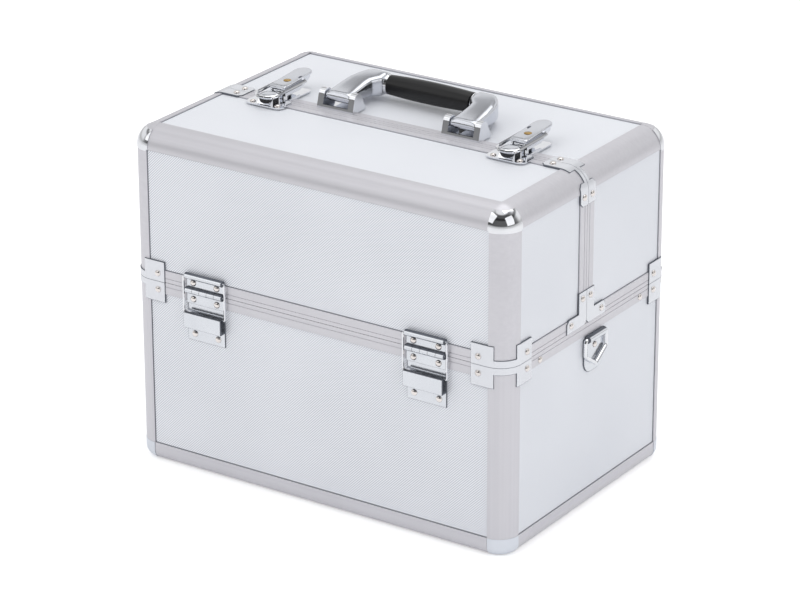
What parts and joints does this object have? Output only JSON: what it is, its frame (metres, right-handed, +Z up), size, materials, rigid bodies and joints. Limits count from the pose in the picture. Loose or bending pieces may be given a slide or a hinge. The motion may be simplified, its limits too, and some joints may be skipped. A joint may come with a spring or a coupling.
{
  "type": "cosmetics train case",
  "caption": "Aluminium-framed make-up case with twin lids that open outward from a top split, cantilever trays, folding handle, draw latches and strap rings.",
  "frame": {"origin": "middle of the case on the plane that it stands on", "axes": "+X along the long side to the right seen from the front, +Y from the front face to the rear face, +Z up"},
  "size_m": [0.3698, 0.2578, 0.3114],
  "materials": {
    "panel_skin": "fine diagonal hatch pressed into a pale satin sheet",
    "satin_rail": "satin anodised extrusion",
    "bright_steel": "bright rolled sheet",
    "chrome": "polished plating",
    "pale_cap": "pale smooth caps",
    "black_grip": "satin black moulding",
    "tray_plastic": "moulded tray",
    "liner": "thin foam mat",
    "key_brass": "key cylinder"
  },
  "bodies": {
    "base": {"base_long_panels": "panel_skin", "base_end_panels": "panel_skin", "base_floor_panel": "panel_skin", "base_floor_liner": "liner", "base_posts": "satin_rail", "base_bottom_rails": "satin_rail", "base_belt_rails": "satin_rail", "base_corner_caps": "pale_cap", "base_belt_brackets": "bright_steel", "hinge_base_leaves": "bright_steel", "hinge_pins": "bright_steel", "strap_plates": "chrome", "base_arm_studs": "bright_steel"},
    "front_lid": {"front_lid_face_panel": "panel_skin", "front_lid_top_panel": "panel_skin", "front_lid_end_panels": "panel_skin", "front_lid_round_rails": "satin_rail", "front_lid_channel_rails": "satin_rail", "front_lid_ball_corners": "chrome", "front_lid_brackets": "bright_steel", "front_hinge_lid_leaves": "bright_steel", "catch_plates": "chrome"},
    "rear_lid": {"rear_lid_face_panel": "panel_skin", "rear_lid_top_panel": "panel_skin", "rear_lid_end_panels": "panel_skin", "rear_lid_round_rails": "satin_rail", "rear_lid_channel_rails": "satin_rail", "rear_lid_ball_corners": "chrome", "rear_lid_brackets": "bright_steel", "rear_hinge_lid_leaves": "bright_steel", "latch_bases": "chrome", "handle_brackets": "chrome", "lid_pivot_pins": "chrome"},
    "handle": {"handle_arms": "chrome", "handle_core_rod": "chrome", "handle_grip": "black_grip"},
    "right_latch_lever": {"right_latch_lever": "chrome", "right_latch_lock": "key_brass"},
    "left_latch_lever": {"left_latch_lever": "chrome", "left_latch_lock": "key_brass"},
    "right_latch_bail": {"right_latch_bail": "chrome"},
    "left_latch_bail": {"left_latch_bail": "chrome"},
    "right_strap_ring": {"right_strap_ring": "chrome"},
    "left_strap_ring": {"left_strap_ring": "chrome"},
    "front_stays": {"front_stay_wires": "bright_steel"},
    "front_long_arms": {"front_long_arms": "bright_steel"},
    "front_lower_links": {"front_lower_links": "bright_steel"},
    "front_upper_links": {"front_upper_links": "bright_steel"},
    "front_lower_tray": {"front_lower_tray": "tray_plastic", "front_lower_tray_studs": "bright_steel"},
    "front_upper_tray": {"front_upper_tray": "tray_plastic", "front_upper_tray_brackets": "bright_steel"},
    "rear_stays": {"rear_stay_wires": "bright_steel"},
    "rear_long_arms": {"rear_long_arms": "bright_steel"},
    "rear_lower_links": {"rear_lower_links": "bright_steel"},
    "rear_upper_links": {"rear_upper_links": "bright_steel"},
    "rear_lower_tray": {"rear_lower_tray": "tray_plastic", "rear_lower_tray_studs": "bright_steel"},
    "rear_upper_tray": {"rear_upper_tray": "tray_plastic", "rear_upper_tray_brackets": "bright_steel"}
  },
  "joints": [
    {"name": "front_lid_hinge", "type": "hinge", "parent": "base", "child": "front_lid", "pos_m": [0, -0.125, 0.161], "axis": [1, 0, 0], "range_deg": [0, 90]},
    {"name": "front_stay_swing", "type": "hinge", "parent": "front_lid", "child": "front_stays", "pos_m": [0, -0.125, 0.1733], "axis": [1, 0, 0], "range_deg": [-66, 0]},
    {"name": "front_long_arm_swing", "type": "hinge", "parent": "base", "child": "front_long_arms", "pos_m": [0, -0.076, 0.1545], "axis": [1, 0, 0], "range_deg": [0, 97]},
    {"name": "front_lower_link_swing", "type": "hinge", "parent": "base", "child": "front_lower_links", "pos_m": [0, -0.0635, 0.1483], "axis": [1, 0, 0], "range_deg": [0, 97]},
    {"name": "front_lower_tray_level", "type": "hinge", "parent": "front_long_arms", "child": "front_lower_tray", "pos_m": [0, -0.04316, 0.1633], "axis": [1, 0, 0], "range_deg": [-97, 0]},
    {"name": "front_upper_tray_level", "type": "hinge", "parent": "front_long_arms", "child": "front_upper_tray", "pos_m": [0, -0.01901, 0.16977], "axis": [1, 0, 0], "range_deg": [-97, 0]},
    {"name": "front_upper_link_swing", "type": "hinge", "parent": "front_lower_tray", "child": "front_upper_links", "pos_m": [0, -0.05566, 0.1695], "axis": [1, 0, 0], "range_deg": [0, 97]},
    {"name": "rear_lid_hinge", "type": "hinge", "parent": "base", "child": "rear_lid", "pos_m": [0, 0.125, 0.161], "axis": [-1, 0, 0], "range_deg": [0, 90]},
    {"name": "rear_stay_swing", "type": "hinge", "parent": "rear_lid", "child": "rear_stays", "pos_m": [0, 0.125, 0.1733], "axis": [-1, 0, 0], "range_deg": [-66, 0]},
    {"name": "rear_long_arm_swing", "type": "hinge", "parent": "base", "child": "rear_long_arms", "pos_m": [0, 0.076, 0.1545], "axis": [-1, 0, 0], "range_deg": [0, 97]},
    {"name": "rear_lower_link_swing", "type": "hinge", "parent": "base", "child": "rear_lower_links", "pos_m": [0, 0.0635, 0.1483], "axis": [-1, 0, 0], "range_deg": [0, 97]},
    {"name": "rear_lower_tray_level", "type": "hinge", "parent": "rear_long_arms", "child": "rear_lower_tray", "pos_m": [0, 0.04316, 0.1633], "axis": [-1, 0, 0], "range_deg": [-97, 0]},
    {"name": "rear_upper_tray_level", "type": "hinge", "parent": "rear_long_arms", "child": "rear_upper_tray", "pos_m": [0, 0.01901, 0.16977], "axis": [-1, 0, 0], "range_deg": [-97, 0]},
    {"name": "rear_upper_link_swing", "type": "hinge", "parent": "rear_lower_tray", "child": "rear_upper_links", "pos_m": [0, 0.05566, 0.1695], "axis": [-1, 0, 0], "range_deg": [0, 97]},
    {"name": "right_latch_lever_lift", "type": "hinge", "parent": "rear_lid", "child": "right_latch_lever", "pos_m": [0.1155, -0.005, 0.2966], "axis": [1, 0, 0], "range_deg": [0, 90]},
    {"name": "right_latch_bail_lift", "type": "hinge", "parent": "right_latch_lever", "child": "right_latch_bail", "pos_m": [0.1155, 0.02, 0.2996], "axis": [1, 0, 0], "range_deg": [-270, 0]},
    {"name": "right_strap_ring_swing", "type": "hinge", "parent": "base", "child": "right_strap_ring", "pos_m": [0.18205, 0.005, 0.147], "axis": [0, -1, 0], "range_deg": [0, 120]},
    {"name": "left_latch_lever_lift", "type": "hinge", "parent": "rear_lid", "child": "left_latch_lever", "pos_m": [-0.1155, -0.005, 0.2966], "axis": [1, 0, 0], "range_deg": [0, 90]},
    {"name": "left_latch_bail_lift", "type": "hinge", "parent": "left_latch_lever", "child": "left_latch_bail", "pos_m": [-0.1155, 0.02, 0.2996], "axis": [1, 0, 0], "range_deg": [-270, 0]},
    {"name": "left_strap_ring_swing", "type": "hinge", "parent": "base", "child": "left_strap_ring", "pos_m": [-0.18205, 0.005, 0.147], "axis": [0, 1, 0], "range_deg": [0, 120]},
    {"name": "handle_lift", "type": "hinge", "parent": "rear_lid", "child": "handle", "pos_m": [0, 0.0025, 0.3], "axis": [1, 0, 0], "range_deg": [0, 95]}
  ],
  "couplings": [
    {"joint": "front_stay_swing", "follows": "front_lid_hinge", "ratio": -0.72},
    {"joint": "front_long_arm_swing", "follows": "front_lid_hinge", "ratio": 1.0777},
    {"joint": "front_lower_link_swing", "follows": "front_lid_hinge", "ratio": 1.0777},
    {"joint": "front_lower_tray_level", "follows": "front_lid_hinge", "ratio": -1.0777},
    {"joint": "front_upper_tray_level", "follows": "front_lid_hinge", "ratio": -1.0777},
    {"joint": "front_upper_link_swing", "follows": "front_lid_hinge", "ratio": 1.0777},
    {"joint": "rear_stay_swing", "follows": "rear_lid_hinge", "ratio": -0.72},
    {"joint": "rear_long_arm_swing", "follows": "rear_lid_hinge", "ratio": 1.0777},
    {"joint": "rear_lower_link_swing", "follows": "rear_lid_hinge", "ratio": 1.0777},
    {"joint": "rear_lower_tray_level", "follows": "rear_lid_hinge", "ratio": -1.0777},
    {"joint": "rear_upper_tray_level", "follows": "rear_lid_hinge", "ratio": -1.0777},
    {"joint": "rear_upper_link_swing", "follows": "rear_lid_hinge", "ratio": 1.0777},
    {"joint": "right_latch_lever_lift", "follows": "front_lid_hinge", "ratio": 1},
    {"joint": "right_latch_bail_lift", "follows": "front_lid_hinge", "ratio": -3},
    {"joint": "left_latch_lever_lift", "follows": "front_lid_hinge", "ratio": 1},
    {"joint": "left_latch_bail_lift", "follows": "front_lid_hinge", "ratio": -3}
  ]
}
